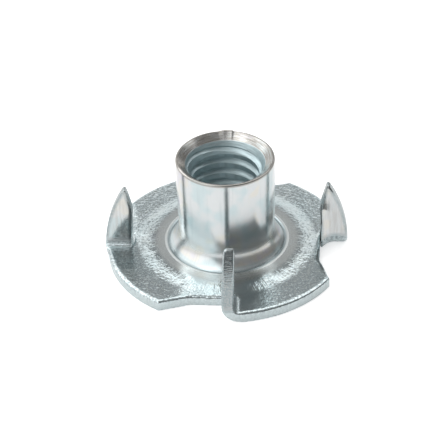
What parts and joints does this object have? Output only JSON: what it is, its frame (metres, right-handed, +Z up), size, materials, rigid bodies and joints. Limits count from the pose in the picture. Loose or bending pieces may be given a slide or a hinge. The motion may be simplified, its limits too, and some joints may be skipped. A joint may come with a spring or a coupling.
{
  "type": "tee nut",
  "caption": "Pronged tee nut for wood: round flange, prongs folded up beside notches in its rim, and a drawn, threaded barrel.",
  "frame": {"origin": "centre of the flange's underside, which is the face that the nut rests on", "axes": "+Z up along the barrel, towards its mouth; +X through the outer face of the first prong"},
  "size_m": [0.019, 0.019, 0.0087],
  "materials": {
    "zinc_plated_steel": "bright zinc plating with a faint blue and yellow cast, fine drawing wrinkles round the barrel"
  },
  "bodies": {
    "root": {"tee_nut": "zinc_plated_steel"}
  },
  "joints": []
}
